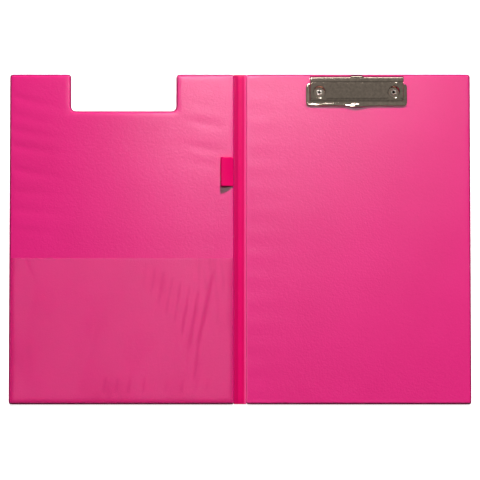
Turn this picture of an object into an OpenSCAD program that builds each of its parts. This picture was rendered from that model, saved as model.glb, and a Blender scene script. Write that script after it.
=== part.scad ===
// Fold-over clipboard, lying open and flat with its inner side up.
// Origin: middle of the spine, on the surface that the clipboard lies on.
// +X runs from the spine to the back cover with its clip, +Y runs to the clip end, +Z is up.

/* [Covers] */
// Width of each cover, from its hinge line to its outer edge
cover_w = 232; // [200:1:260]
// Height of the covers
cover_h = 340; // [310:1:360]
// Distance between the two hinge lines of the spine
spine_w = 11; // [11:0.5:20]
// Outer corner radius of the covers
corner_r = 3; // [2.5:0.5:8]
// Thickness of the stiffening boards
board_t = 2; // [1.5:0.1:3]
// Thickness of each plastic sheet
skin_t = 0.35; // [0.2:0.05:0.4]
// Width of the welded margin round the boards
weld_w = 1.5; // [1:0.1:2]

/* [Clip cut-out] */
// Width of the cut-out in the front cover, which clears the clip when closed
notch_w = 108; // [107:1:120]
// Depth of the cut-out
notch_d = 38; // [37:1:50]
// Radius of its two inner corners
notch_inner_r = 4.5; // [3:0.5:8]
// Radius of its two mouth corners
notch_mouth_r = 3.5; // [2.5:0.5:6]

/* [Pocket] */
// Height of the clear pocket on the front cover
pocket_h = 148; // [80:1:250]
// Thickness of the pocket film
film_t = 0.25; // [0.15:0.05:0.4]
// Room between the film and the lining
pocket_gap = 0.3; // [0.2:0.1:0.6]

/* [Pen loop] */
// Height of the pen loop along the spine
loop_h = 30; // [15:1:60]
// Distance from the middle of the covers to the middle of the pen loop
loop_y = 69; // [-80:1:120]
// Distance that the pen loop reaches over the front cover
loop_reach = 15.2; // [12:0.2:25]
// Height that the pen loop stands above the lining
loop_rise = 5.4; // [4:0.1:5.5]
// Thickness of the pen loop strip
loop_t = 0.6; // [0.4:0.1:0.8]

/* [Clip] */
// Distance from the spine's middle to the middle of the clip
clip_x = 120; // [110:1:130]
// Distance from the top edge of the back cover to the clip's hinge pin
clip_inset = 5.9; // [5.5:0.1:12]
// Width of the raised panel of the jaw
jaw_w = 96; // [94:1:100]
// Width of the jaw across its rims
jaw_rim_w = 104.6; // [102:0.2:106]
// Distance from the hinge pin to the front edge of the jaw
jaw_len = 27.4; // [26:0.2:29]
// Height of the hinge pin above the lining
axis_h = 4.3; // [4.2:0.1:5]
// Outer radius of the rolled rear edge of the jaw
barrel_r = 3; // [2.9:0.1:3.2]
// Thickness of the clip's sheet steel
steel_t = 0.7; // [0.6:0.1:0.8]
// Radius of the hinge pin
pin_r = 1; // [0.9:0.05:1.1]
// Distance between the two rivets
rivet_pitch = 76.7; // [70:0.1:78]
// Distance from the hinge pin to the rivets
rivet_back = 13.1; // [12:0.1:14]
// Radius of the two clearance holes in the jaw
rivet_window_r = 5.5; // [5:0.1:6]

/* [Hidden] */
$fn = 64;
eps = 0.01;

// Sheets and boards
hinge_gap = 0.45;                 // from a hinge line to the edge of a cover's sheets
hinge_weld_w = 0.5;               // welded margin along the hinge
hinge_x = spine_w / 2;
outer_x = hinge_x + cover_w;
half_h = cover_h / 2;
weld_top = 2 * skin_t;            // two sheets welded together
board_z = skin_t;
board_top = board_z + board_t;
lining_top = board_top + skin_t;

// Clip
pin_y = half_h - clip_inset;
pin_z = lining_top + axis_h;
pin_len = jaw_w + 0.6;
pin_hole_r = pin_r + 0.05;        // running clearance in the jaw's ears
lug_hole_r = pin_r + 0.02;
barrel_end = -20;                 // angle at which the rolled rear edge ends
panel_drop = 0.4;                 // the panel lies this much below the rolled edge
crease_front = 3.4;               // where the panel's crease ends, in front of the pin
panel_len = 21.6;                 // from the pin to the panel's front edge
wall_len = 24;                    // from the pin to the foot of the front wall
rim_top = 1.5;                    // height of the rims above the lining
rim_gap = 0.15;                   // height of the jaw's lower edge above the lining
rim_corner_r = 3.6;
rim_back = 4.1;                   // from the pin to the rear end of the rims
bulge_shift = 0.95;               // the bulge over the spring stands out this much
bulge_w = 13;
tab_w = 35;                       // finger tab in the middle of the front edge
tab_reach = 1.1;
tab_lift = 0.35;
dimple_x = 40.3;                  // locating dimple in the rolled edge
dimple_r = 1.3;
dimple_depth = 0.35;
base_w = 88;                      // base plate under the jaw
base_len = 20;                    // from the pin to its front edge
base_back = 1;                    // from the pin to its rear edge
lug_r = 1.9;                      // lugs that hold the pin
lug_foot = 6;

// Spring
wire_r = 0.35;
coil_r = 1.45;                    // from the pin's axis to the middle of the wire
coil_turns = 7;
coil_pitch = 1;
coil_steps = 12;                  // rings of points in each turn
wire_sides = 8;
spring_start = 200;               // angle at which the coil leaves the long leg
spring_end = -24;                 // angle of the short leg under the rolled edge
short_leg_r = 3.4;
long_leg = 12;                    // lies on the base plate, forward of the pin

// Rivets
rivet_r = 2;
rivet_bore_r = 1.3;               // blind bore, open at the head
rivet_floor_z = 0.9;
rivet_head_r = 3.2;
rivet_head_h = 1.1;
rivet_hole_r = 2.05;
washer_r = 5;
washer_t = 0.5;
washer_z = 0.3;                   // the clenched end lies under the washer

plastic_pink = [0.92, 0.2, 0.52];
lining_pink = [0.93, 0.33, 0.58];
strip_pink = [0.88, 0.05, 0.42];
film_pink = [0.86, 0.3, 0.52, 0.6];
greyboard = [0.62, 0.58, 0.53];
nickel = [0.62, 0.58, 0.54];
bright_steel = [0.78, 0.78, 0.78];
spring_steel = [0.45, 0.45, 0.47];

// ---- Outlines ----

module rounded_rect(x0, y0, x1, y1, r) {
  translate([x0 + r, y0])
    square([x1 - x0 - 2 * r, y1 - y0]);
  translate([x0, y0 + r])
    square([x1 - x0, y1 - y0 - 2 * r]);
  for (x = [x0 + r, x1 - r], y = [y0 + r, y1 - r])
    translate([x, y])
      circle(r);
}

// The cut-out, grown on every side, for a cover that lies on the +X side
module notch_2d(grow) {
  floor_y = half_h - notch_d - grow;
  mouth_y = half_h - grow;
  mouth_r = notch_mouth_r - grow;
  x0 = clip_x - notch_w / 2 - grow;
  x1 = clip_x + notch_w / 2 + grow;
  rounded_rect(x0, floor_y, x1, half_h + 20, notch_inner_r + grow);
  for (side = [-1, 1])
    translate([side > 0 ? x1 : x0, mouth_y])
      difference() {
        translate([side > 0 ? -eps : -mouth_r, -mouth_r])
          square([mouth_r + eps, mouth_r + 1]);
        translate([side * mouth_r, -mouth_r])
          circle(mouth_r);
      }
}

// Outline of a cover on the +X side, drawn in from its edges
module cover_2d(inset, hinge_inset, notched) {
  x0 = hinge_x + hinge_gap + hinge_inset;
  edge = half_h - inset;
  difference() {
    rounded_rect(x0, -edge, outer_x - inset, edge, corner_r - inset);
    if (notched)
      notch_2d(inset);
  }
}

module outer_skin(notched) {
  linear_extrude(skin_t)
    cover_2d(0, 0, notched);
}

module lining(notched) {
  difference() {
    union() {
      translate([0, 0, skin_t])
        linear_extrude(skin_t)
          cover_2d(0, 0, notched);
      translate([0, 0, skin_t])
        linear_extrude(lining_top - skin_t)
          cover_2d(weld_w, hinge_weld_w, notched);
    }
    translate([0, 0, skin_t - 1])
      linear_extrude(board_t + 1)
        cover_2d(weld_w + skin_t, hinge_weld_w + skin_t, notched);
  }
}

module stiffener(notched) {
  translate([0, 0, board_z])
    linear_extrude(board_t)
      cover_2d(weld_w + skin_t, hinge_weld_w + skin_t, notched);
}

module at_rivets() {
  for (side = [-1, 1])
    translate([clip_x + side * rivet_pitch / 2, pin_y - rivet_back, 0])
      children();
}

// ---- Covers ----

module back_board() {
  color(greyboard)
    difference() {
      stiffener(false);
      at_rivets()
        cylinder(r = rivet_hole_r, h = 10, center = true);
      at_rivets()
        cylinder(r = washer_r + 0.05, h = 2 * (washer_z + washer_t), center = true);
    }
}

module back_outer_skin() {
  color(plastic_pink)
    difference() {
      outer_skin(false);
      at_rivets()
        cylinder(r = washer_r + 0.05, h = 10, center = true);
    }
}

module back_inner_lining() {
  color(lining_pink)
    difference() {
      lining(false);
      at_rivets()
        cylinder(r = rivet_hole_r, h = 20, center = true);
    }
}

module front_board() {
  color(greyboard)
    mirror([1, 0, 0])
      stiffener(true);
}

module front_outer_skin() {
  color(plastic_pink)
    mirror([1, 0, 0])
      outer_skin(true);
}

module front_inner_lining() {
  color(lining_pink)
    mirror([1, 0, 0])
      lining(true);
}

// ---- Spine ----

// Cross-section of the welded spine, with a round bead on each hinge line
module spine_section() {
  translate([-hinge_x, 0])
    square([spine_w, weld_top]);
  for (side = [-1, 1])
    translate([side * hinge_x, skin_t])
      circle(skin_t);
}

module spine_sheet(low) {
  rotate([90, 0, 0])
    linear_extrude(cover_h, center = true)
      intersection() {
        spine_section();
        translate([-spine_w, low])
          square([2 * spine_w, skin_t]);
      }
}

module spine_outer_skin() {
  color(plastic_pink)
    spine_sheet(0);
}

module spine_inner_lining() {
  color(lining_pink)
    spine_sheet(skin_t);
}

// ---- Pocket and pen loop ----

module document_pocket() {
  film_z = lining_top + pocket_gap;
  edge = 0.8;
  x0 = -outer_x + weld_w + edge;
  x1 = -hinge_x - hinge_gap - hinge_weld_w - edge;
  y0 = -half_h + weld_w + edge;
  seam = 2.5;
  color(film_pink)
    difference() {
      translate([x0, y0, lining_top])
        cube([x1 - x0, pocket_h, pocket_gap + film_t]);
      translate([x0 + seam, y0 + seam, lining_top - 1])
        cube([x1 - x0 - 2 * seam, pocket_h, pocket_gap + 1]);
    }
}

// Teardrop outline that starts at [0, 0] and ends in a round nose of radius r
module teardrop(reach, r) {
  nose_x = reach - r;
  slope = 2 * atan(r / nose_x);
  tip = [nose_x - r * sin(slope), r + r * cos(slope)];
  polygon([[0, 0], [nose_x, 0], [nose_x, r], tip]);
  translate([nose_x, r])
    circle(r);
}

module pen_loop() {
  root = hinge_x + hinge_gap + hinge_weld_w + 0.3;
  reach = loop_reach + hinge_x - root;
  nose_r = loop_rise / 2;
  inner_start = 2.6;
  color(strip_pink)
    translate([-root, loop_y + loop_h / 2, lining_top])
      rotate([90, 0, 0])
        mirror([1, 0, 0])
          linear_extrude(loop_h)
            difference() {
              teardrop(reach, nose_r);
              translate([inner_start, loop_t])
                teardrop(reach - loop_t - inner_start, nose_r - loop_t);
            }
}

// ---- Clip ----

function unit_normal(a, b) = [a[1] - b[1], b[0] - a[0]] / norm(b - a);

// The points of an open path moved sideways, with mitred corners
function shifted(path, t) = [
  for (i = [0:len(path) - 1])
    let (
      before = unit_normal(path[max(i - 1, 0)], path[max(i, 1)]),
      after = unit_normal(path[min(i, len(path) - 2)], path[min(i + 1, len(path) - 1)])
    )
    path[i] + t * (before + after) / (1 + before * after)
];

// An open path as a sheet of steel
module sheet_2d(path) {
  below = shifted(path, steel_t);
  last = len(path) - 1;
  polygon(concat(path, [for (i = [0:last]) below[last - i]]));
}

// Section drawn as [distance behind the pin, height above the pin], over a width
module across(width) {
  translate([clip_x, pin_y, pin_z])
    rotate([90, 0, 90])
      linear_extrude(width, center = true)
        children();
}

module ring_sector(r, from, to) {
  far = 2 * r;
  intersection() {
    difference() {
      circle(r);
      circle(r - steel_t);
    }
    polygon([
      [0, 0],
      [far * cos(from), far * sin(from)],
      [far, far],
      [far, far * tan(to)]
    ]);
  }
}

module at_jaw(u, v) {
  translate([clip_x + u, pin_y - v, 0])
    children();
}

module rim_outline(inset) {
  half = jaw_rim_w / 2 - inset;
  translate([clip_x, pin_y])
    rounded_rect(-half, -jaw_len + inset, half, -rim_back - inset, rim_corner_r - inset);
}

module finger_tab_2d() {
  tab_r = (tab_w * tab_w / 4 + tab_reach * tab_reach) / (2 * tab_reach);
  translate([clip_x, pin_y - jaw_len])
    intersection() {
      translate([0, tab_r - tab_reach])
        circle(tab_r, $fn = 256);
      translate([-tab_w / 2, -tab_reach - 1])
        square([tab_w, tab_reach + 3]);
    }
}

// Panel, front wall and rolled rear edge, as one bent sheet
module jaw_panel() {
  top = barrel_r;
  flat = barrel_r - panel_drop;
  foot = rim_top - axis_h;
  across(jaw_w)
    sheet_2d([
      [eps, top], [-crease_front + 1.2, top], [-crease_front, flat],
      [-panel_len, flat], [-wall_len, foot]
    ]);
  difference() {
    across(jaw_w)
      ring_sector(barrel_r, 90, barrel_end);
    across(bulge_w - 2 * steel_t)
      translate([0, -barrel_r])
        square(2 * barrel_r);
  }
  across(bulge_w) {
    translate([-eps, barrel_r - steel_t])
      square([bulge_shift + 2 * eps, steel_t]);
    translate([bulge_shift, 0])
      ring_sector(barrel_r, 90, barrel_end);
  }
}

// Side walls with the ears that turn on the pin
module jaw_sides() {
  flat = barrel_r - panel_drop;
  foot = rim_top - axis_h;
  for (side = [-1, 1])
    translate([side * (jaw_w - steel_t) / 2, 0, 0])
      across(steel_t) {
        polygon([
          [0, barrel_r], [-crease_front + 1.2, barrel_r], [-crease_front, flat],
          [-panel_len, flat], [-wall_len, foot - steel_t], [-rim_back, foot - steel_t],
          [-barrel_r + 0.4, -1], [0, 0]
        ]);
        circle(barrel_r);
      }
}

module jaw_rims() {
  rim_z = lining_top + rim_top - steel_t;
  low = lining_top + rim_gap;
  difference() {
    union() {
      translate([0, 0, rim_z])
        linear_extrude(steel_t)
          rim_outline(0);
      translate([0, 0, low])
        linear_extrude(lining_top + rim_top - low)
          difference() {
            rim_outline(0);
            rim_outline(steel_t);
            translate([clip_x - tab_w / 2, pin_y - jaw_len - 1])
              square([tab_w, 3]);
          }
    }
    translate([clip_x - jaw_w / 2 + steel_t, pin_y - wall_len + 0.4, low - 1])
      cube([jaw_w - 2 * steel_t, wall_len + 5, rim_top + 2]);
    translate([clip_x - jaw_w / 2 + steel_t, pin_y - rim_back - steel_t - eps, low - 1])
      cube([jaw_w - 2 * steel_t, steel_t + 1, rim_top + 2]);
  }
  translate([0, 0, rim_z + tab_lift])
    linear_extrude(steel_t)
      finger_tab_2d();
}

module clip_jaw() {
  color(nickel)
    difference() {
      union() {
        jaw_panel();
        jaw_sides();
        jaw_rims();
      }
      across(2 * jaw_w)
        circle(pin_hole_r);
      at_rivets()
        translate([0, 0, pin_z])
          cylinder(r = rivet_window_r, h = 10);
      at_jaw(dimple_x, 1.9)
        translate([0, 0, pin_z + barrel_r - dimple_depth])
          cylinder(r = dimple_r, h = 5);
    }
}

module clip_base_plate() {
  lug_slope = 2.2;
  color(nickel)
    difference() {
      union() {
        translate([clip_x - base_w / 2, pin_y - base_len, lining_top])
          cube([base_w, base_len + base_back, steel_t]);
        for (side = [-1, 1])
          translate([side * (base_w - steel_t) / 2, 0, 0])
            across(steel_t) {
              circle(lug_r);
              polygon([
                [-lug_foot, -axis_h], [0, -axis_h], [0, -lug_r],
                [0, lug_r], [-lug_r, 0], [-lug_foot, -axis_h + lug_slope]
              ]);
            }
      }
      across(2 * base_w)
        circle(lug_hole_r);
      at_rivets()
        cylinder(r = rivet_hole_r, h = 20);
    }
}

module hinge_pin() {
  color(bright_steel)
    across(pin_len)
      circle(pin_r);
}

// Route of the spring wire: [along the pin, behind the pin, above the pin]
function coil_point(turn) = let (a = spring_start - turn * 360)
  [(turn - coil_turns / 2) * coil_pitch, coil_r * cos(a), coil_r * sin(a)];

last_turn = coil_turns + (spring_start - spring_end) / 360 - 1;
coil_points = [for (i = [0:coil_steps * last_turn]) coil_point(i / coil_steps)];
coil_first = coil_point(0);
coil_last = coil_point(last_turn);
plate_top = steel_t - axis_h;
spring_path = concat(
  [
    [coil_first[0] - 0.4, -long_leg, plate_top + wire_r + 0.05],
    [coil_first[0] - 0.3, -long_leg + 4, plate_top + wire_r + 0.15]
  ],
  coil_points,
  [
    coil_last,
    [coil_last[0] + 0.5, short_leg_r * cos(spring_end), short_leg_r * sin(spring_end)]
  ]
);

function unit(v) = v / norm(v);

function direction(path, i) =
  unit(path[min(i + 1, len(path) - 1)] - path[max(i - 1, 0)]);

// Two directions square to the wire, one of them as near to the pin's as it goes
function wire_ring(path, i) =
  let (
    d = direction(path, i),
    p = unit([1, 0, 0] - d * d[0]),
    q = cross(d, p)
  )
  [
    for (k = [0:wire_sides - 1])
      let (a = k * 360 / wire_sides)
      path[i] + wire_r * (p * cos(a) + q * sin(a))
  ];

module wire(path) {
  rings = len(path);
  points = [for (i = [0:rings - 1]) each wire_ring(path, i)];
  walls = [
    for (i = [0:rings - 2], k = [0:wire_sides - 1])
      let (n = (k + 1) % wire_sides, a = i * wire_sides, b = a + wire_sides)
      [a + k, b + k, b + n, a + n]
  ];
  first = [for (k = [0:wire_sides - 1]) k];
  final = [for (k = [wire_sides - 1:-1:0]) (rings - 1) * wire_sides + k];
  polyhedron(points, concat([first], walls, [final]));
}

module torsion_spring() {
  color(spring_steel)
    translate([clip_x, pin_y, pin_z])
      wire(spring_path);
}

module clip_rivets() {
  head_z = lining_top + steel_t;
  color(bright_steel)
    at_rivets()
      rotate_extrude()
        polygon([
          [0, 0], [rivet_head_r, 0], [rivet_head_r, washer_z],
          [rivet_r, washer_z], [rivet_r, head_z], [rivet_head_r, head_z],
          [rivet_head_r, head_z + 0.55 * rivet_head_h],
          [rivet_head_r - 0.55, head_z + rivet_head_h],
          [rivet_bore_r + 0.5, head_z + rivet_head_h],
          [rivet_bore_r, head_z + 0.7 * rivet_head_h],
          [rivet_bore_r, rivet_floor_z], [0, rivet_floor_z]
        ]);
}

module rivet_washers() {
  color(nickel)
    at_rivets()
      translate([0, 0, washer_z])
        difference() {
          cylinder(r = washer_r, h = washer_t);
          translate([0, 0, -1])
            cylinder(r = rivet_hole_r, h = washer_t + 2);
        }
}

back_board();
back_outer_skin();
back_inner_lining();
front_board();
front_outer_skin();
front_inner_lining();
spine_outer_skin();
spine_inner_lining();
document_pocket();
pen_loop();
clip_base_plate();
clip_jaw();
hinge_pin();
torsion_spring();
clip_rivets();
rivet_washers();
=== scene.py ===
"""Fold-over clipboard lying open, inner side up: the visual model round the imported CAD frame.

Lengths are in millimetres until a mesh is made, and X, Y, Z are the frame's own axes.
"""
import math
import random

from contextlib import contextmanager

import bmesh
import bpy
import numpy as np
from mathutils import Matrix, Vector, noise


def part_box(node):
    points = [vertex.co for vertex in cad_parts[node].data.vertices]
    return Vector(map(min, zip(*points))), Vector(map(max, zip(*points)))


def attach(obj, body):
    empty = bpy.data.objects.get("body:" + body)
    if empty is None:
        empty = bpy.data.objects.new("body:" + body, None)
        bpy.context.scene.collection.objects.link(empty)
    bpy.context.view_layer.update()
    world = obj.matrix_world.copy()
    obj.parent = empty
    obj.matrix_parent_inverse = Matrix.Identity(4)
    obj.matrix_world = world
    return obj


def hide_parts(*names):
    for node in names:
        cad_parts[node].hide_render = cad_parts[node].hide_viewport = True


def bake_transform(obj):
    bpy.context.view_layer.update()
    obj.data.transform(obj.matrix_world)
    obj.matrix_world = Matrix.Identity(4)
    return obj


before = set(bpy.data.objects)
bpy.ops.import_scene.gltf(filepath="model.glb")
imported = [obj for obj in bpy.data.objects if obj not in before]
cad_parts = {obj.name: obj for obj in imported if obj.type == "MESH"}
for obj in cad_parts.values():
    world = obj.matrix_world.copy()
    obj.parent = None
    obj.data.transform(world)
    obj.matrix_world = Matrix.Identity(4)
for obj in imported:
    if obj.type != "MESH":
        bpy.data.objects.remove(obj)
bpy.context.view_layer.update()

MM = 0.001
SEED = 7


def mm_box(node):
    """Lowest and highest corner of a CAD node, in millimetres."""
    low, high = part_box(node)
    return np.array(low) / MM, np.array(high) / MM


# ---- Sizes, from the frame ----

LINING_LOW, LINING_HIGH = mm_box("back_inner_lining")
SPINE_LOW, SPINE_HIGH = mm_box("spine_inner_lining")
POCKET_LOW, POCKET_HIGH = mm_box("document_pocket")
LOOP_LOW, LOOP_HIGH = mm_box("pen_loop")
JAW_LOW, JAW_HIGH = mm_box("clip_jaw")
PLATE_LOW, _ = mm_box("clip_base_plate")
PIN_LOW, PIN_HIGH = mm_box("hinge_pin")

OUTER_X = LINING_HIGH[0]
HALF_H = LINING_HIGH[1]
TOP = LINING_HIGH[2]
SKIN = SPINE_HIGH[2] - SPINE_LOW[2]   # the spine's sheet, as thick as the others
WELD_TOP = SPINE_HIGH[2]              # top of two sheets welded together
COVER_X = LINING_LOW[0]               # where the back cover's sheets start
CLIP_X = (JAW_LOW[0] + JAW_HIGH[0]) / 2
PIN_Y = (PIN_LOW[1] + PIN_HIGH[1]) / 2
PIN_Z = (PIN_LOW[2] + PIN_HIGH[2]) / 2

RIVET_LOW, RIVET_HIGH = mm_box("clip_rivets")
RIVET_HEAD_R = 3.2
RIVET_PITCH = RIVET_HIGH[0] - RIVET_LOW[0] - 2 * RIVET_HEAD_R
RIVET_Y = (RIVET_LOW[1] + RIVET_HIGH[1]) / 2

# The cut-out in the front cover, measured from the spine on the side that it lies on
NOTCH_W = 108.0
NOTCH_DEPTH = 38.0
NOTCH_X = (CLIP_X - NOTCH_W / 2, CLIP_X + NOTCH_W / 2)
NOTCH_Y = HALF_H - NOTCH_DEPTH
CORNER_R = 3.0
MOUTH_R = 3.5
INNER_R = 4.5

# ---- Materials ----


def srgb(r, g, b):
    """A display colour from 0 to 255 as a linear colour."""
    def linear(c):
        c /= 255.0
        return c / 12.92 if c <= 0.04045 else ((c + 0.055) / 1.055) ** 2.4
    return (linear(r), linear(g), linear(b), 1.0)


NOISE_LOW = 0.3      # a noise node's values mostly lie between these
NOISE_HIGH = 0.7
MIX_A = 6            # the mix node's first colour input, then its second
MIX_RESULT = 2       # its colour output


class Shader:
    """A material's node tree, with short calls to add and link its nodes."""

    def __init__(self, name):
        self.material = bpy.data.materials.new(name)
        self.material.use_nodes = True
        self.tree = self.material.node_tree
        self.bsdf = self.tree.nodes["Principled BSDF"]

    def node(self, kind, **settings):
        made = self.tree.nodes.new(kind)
        for key, value in settings.items():
            setattr(made, key, value)
        return made

    def link(self, source, target):
        self.tree.links.new(source, target)

    def place(self, stretch=(1.0, 1.0, 1.0)):
        """Object coordinates in millimetres, stretched."""
        coords = self.node("ShaderNodeTexCoord")
        mapping = self.node("ShaderNodeMapping")
        mapping.inputs["Scale"].default_value = [s / MM for s in stretch]
        self.link(coords.outputs["Object"], mapping.inputs["Vector"])
        return mapping.outputs["Vector"]

    def axis(self, letter):
        """One object coordinate, in metres."""
        split = self.node("ShaderNodeSeparateXYZ")
        self.link(self.node("ShaderNodeTexCoord").outputs["Object"], split.inputs["Vector"])
        return split.outputs[letter]

    def noise(self, scale, detail=3.0, rough=0.5, where=None):
        """Noise of a scale per millimetre."""
        made = self.node("ShaderNodeTexNoise")
        made.inputs["Scale"].default_value = scale
        made.inputs["Detail"].default_value = detail
        made.inputs["Roughness"].default_value = rough
        self.link(where or self.place(), made.inputs["Vector"])
        return made.outputs["Fac"]

    def ramp(self, source, low, high, start=0.0, end=1.0):
        """Start up to low, end from high on, and evenly between."""
        made = self.node("ShaderNodeMapRange")
        made.inputs["From Min"].default_value = low
        made.inputs["From Max"].default_value = high
        made.inputs["To Min"].default_value = start
        made.inputs["To Max"].default_value = end
        self.link(source, made.inputs["Value"])
        return made.outputs["Result"]

    def fade(self, letter, band, start, end):
        """From start to end over a band of an object coordinate, in millimetres."""
        return self.ramp(self.axis(letter), band[0] * MM, band[1] * MM, start, end)

    def grained(self, source, low, high):
        """A noise's middle range, spread from low to high."""
        return self.ramp(source, NOISE_LOW, NOISE_HIGH, low, high)

    def mottled(self, source, dark, light):
        """Two colours mixed by a noise's middle range."""
        return self.colours(source, [(NOISE_LOW, dark), (NOISE_HIGH, light)])

    def colours(self, source, stops):
        """A colour ramp through (place, colour) stops."""
        made = self.node("ShaderNodeValToRGB")
        ramp = made.color_ramp
        while len(ramp.elements) < len(stops):
            ramp.elements.new(0.5)
        for element, (at, colour) in zip(ramp.elements, stops):
            element.position = at
            element.color = colour
        self.link(source, made.inputs["Fac"])
        return made.outputs["Color"]

    def maths(self, operation, a, b):
        made = self.node("ShaderNodeMath", operation=operation)
        for socket, value in zip(made.inputs, (a, b)):
            if isinstance(value, (int, float)):
                socket.default_value = value
            else:
                self.link(value, socket)
        return made.outputs["Value"]

    def mix(self, factor, a, b):
        """Colour a where the factor is 0, and b where it is 1."""
        made = self.node("ShaderNodeMix", data_type="RGBA")
        self.link(factor, made.inputs["Factor"])
        for socket, value in zip(made.inputs[MIX_A:], (a, b)):
            if isinstance(value, tuple):
                socket.default_value = value
            else:
                self.link(value, socket)
        return made.outputs[MIX_RESULT]

    def bump(self, height, distance, strength=1.0, under=None):
        """A normal bent by a height, distance millimetres from its lowest to its highest."""
        made = self.node("ShaderNodeBump")
        made.inputs["Strength"].default_value = strength
        made.inputs["Distance"].default_value = distance * MM
        self.link(height, made.inputs["Height"])
        if under is not None:
            self.link(under, made.inputs["Normal"])
        return made.outputs["Normal"]

    def finish(self, **sockets):
        """Sets or links the surface's sockets, and gives the material."""
        for key, value in sockets.items():
            socket = self.bsdf.inputs[key.replace("_", " ").title().replace("Ior", "IOR")]
            if isinstance(value, (int, float, tuple)):
                socket.default_value = value
            else:
                self.link(value, socket)
        return self.material


# Distances are in millimetres, and noise scales per millimetre
LINEN_SCALE = 1.15
LINEN_LONG = 1.6
LINEN_SHORT = 0.55
LINEN_HEIGHT = 0.11
GRAIN_HEIGHT = 0.14
CLOUD_HEIGHT = 0.25
CLOUD_SHARE = 0.6           # of the sheet's tone; the flecks have the rest
CROWN_FROM = 40.0           # distance from the spine at which the shaded crown starts
CROWN_HEIGHT = 20.0
WELD_SHADE_Z = (0.8, 1.7)         # painted shade: the welded margin is darker low down, fading out over these heights
WELD_SHADE_SHARE = 0.85
FOLD_LEFT_X = (-2.6, -1.6)  # painted shade: darker bands along the spine's folds, and how dark
FOLD_LEFT_SHADE = 0.55
FOLD_RIGHT_X = (1.2, 2.4)
FOLD_RIGHT_SHADE = 0.25
HIGHLIGHT_SPINE_X = (3.8, 5.2)   # painted highlight: a paler band on both sides of the back cover's hinge
HIGHLIGHT_COVER_X = (6.8, 8.2)
HIGHLIGHT_SHARE = 0.8


def embossed_plastic(
    name, base, deep, roughness=0.5, specular=0.5, crown=0.0, weld_shade=False, fold_highlight=False
):
    """Soft plastic sheet with a fine linen emboss.

    A crowned one is shaded as if it leant outwards towards its far edge, and a welded one has
    painted shade in its margin. One with a painted fold highlight is lighter where it bends down
    to the spine.
    """
    s = Shader(name)
    warp = s.noise(LINEN_SCALE, 2.0, 0.5, s.place((LINEN_SHORT, LINEN_LONG, 1.0)))
    weft = s.noise(LINEN_SCALE, 2.0, 0.5, s.place((LINEN_LONG, LINEN_SHORT, 1.0)))
    linen = s.maths("MULTIPLY", s.maths("ADD", warp, weft), 0.5)
    cloud = s.noise(0.012, 3.0, 0.55)
    fleck = s.noise(0.6, 3.0, 0.6)
    tone = s.maths(
        "ADD",
        s.maths("MULTIPLY", cloud, CLOUD_SHARE),
        s.maths("MULTIPLY", fleck, 1 - CLOUD_SHARE),
    )
    colour = s.mottled(tone, deep, base)
    if weld_shade:
        # painted shade: darker low down in the welded margin
        colour = s.mix(s.fade("Z", WELD_SHADE_Z, WELD_SHADE_SHARE, 0.0), colour, WELD_SHADE_COLOUR)
    if fold_highlight:
        # painted highlight: paler where the lining bends down to the spine
        colour = s.mix(s.fade("X", HIGHLIGHT_COVER_X, HIGHLIGHT_SHARE, 0.0), colour, FOLD_HIGHLIGHT)
    slow = s.bump(s.noise(0.5, 2.0, 0.6), GRAIN_HEIGHT, 1.0, s.bump(cloud, CLOUD_HEIGHT, 0.25))
    if crown:
        far = s.fade("X", (-CROWN_FROM, -OUTER_X), 0.0, 1.0)
        fall = s.maths("MULTIPLY", s.maths("MULTIPLY", far, far), -1.0)
        slow = s.bump(fall, crown, 1.0, slow)
    return s.finish(
        base_color=colour,
        roughness=s.grained(fleck, roughness - 0.05, roughness + 0.05),
        specular_ior_level=specular,
        normal=s.bump(linen, LINEN_HEIGHT, 0.7, slow),
    )


def smooth_plastic(name, base, deep, roughness=0.22, bands=False):
    """Soft plastic with a smooth, glossy face.

    Optionally it has painted shade along the spine's folds and a painted highlight by the back
    cover's hinge.
    """
    s = Shader(name)
    cloud = s.noise(0.03, 3.0, 0.5)
    grain = s.noise(1.2, 2.0, 0.5)
    colour = s.mottled(cloud, deep, base)
    if bands:
        # painted shade: darker along the spine's folds, most on the left
        left = s.fade("X", FOLD_LEFT_X, FOLD_LEFT_SHADE, 0.0)
        right = s.fade("X", FOLD_RIGHT_X, 0.0, FOLD_RIGHT_SHADE)
        colour = s.mix(s.maths("ADD", left, right), colour, FOLD_SHADE_COLOUR)
        # painted highlight: paler beside the back cover's hinge
        colour = s.mix(s.fade("X", HIGHLIGHT_SPINE_X, 0.0, HIGHLIGHT_SHARE), colour, FOLD_HIGHLIGHT)
    return s.finish(
        base_color=colour,
        roughness=s.grained(grain, roughness - 0.04, roughness + 0.06),
        specular_ior_level=0.15,
        normal=s.bump(s.noise(0.25, 2.0, 0.5), 0.06, 0.3),
    )


def plated_steel(name, colour, roughness, brushed=(1.0, 1.0, 1.0), wear=0.5):
    """Plated sheet steel: faint rolling marks, dull spots and thinner plate along the edges."""
    s = Shader(name)
    lines = s.noise(1.4, 3.0, 0.6, s.place(brushed))
    spots = s.noise(0.35, 4.0, 0.65)
    edge = s.node("ShaderNodeNewGeometry").outputs["Pointiness"]
    worn = s.ramp(edge, 0.5, 0.56, 0.0, wear)
    dark = tuple(c * 0.8 for c in colour[:3]) + (1.0,)
    light = tuple(min(1.0, c * 1.25) for c in colour[:3]) + (1.0,)
    body = s.colours(spots, [(0.35, dark), (0.65, colour)])
    return s.finish(
        base_color=s.mix(worn, body, light),
        metallic=1.0,
        roughness=s.grained(lines, roughness * 0.75, roughness * 1.35),
        normal=s.bump(lines, 0.01, 0.25),
    )


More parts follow.
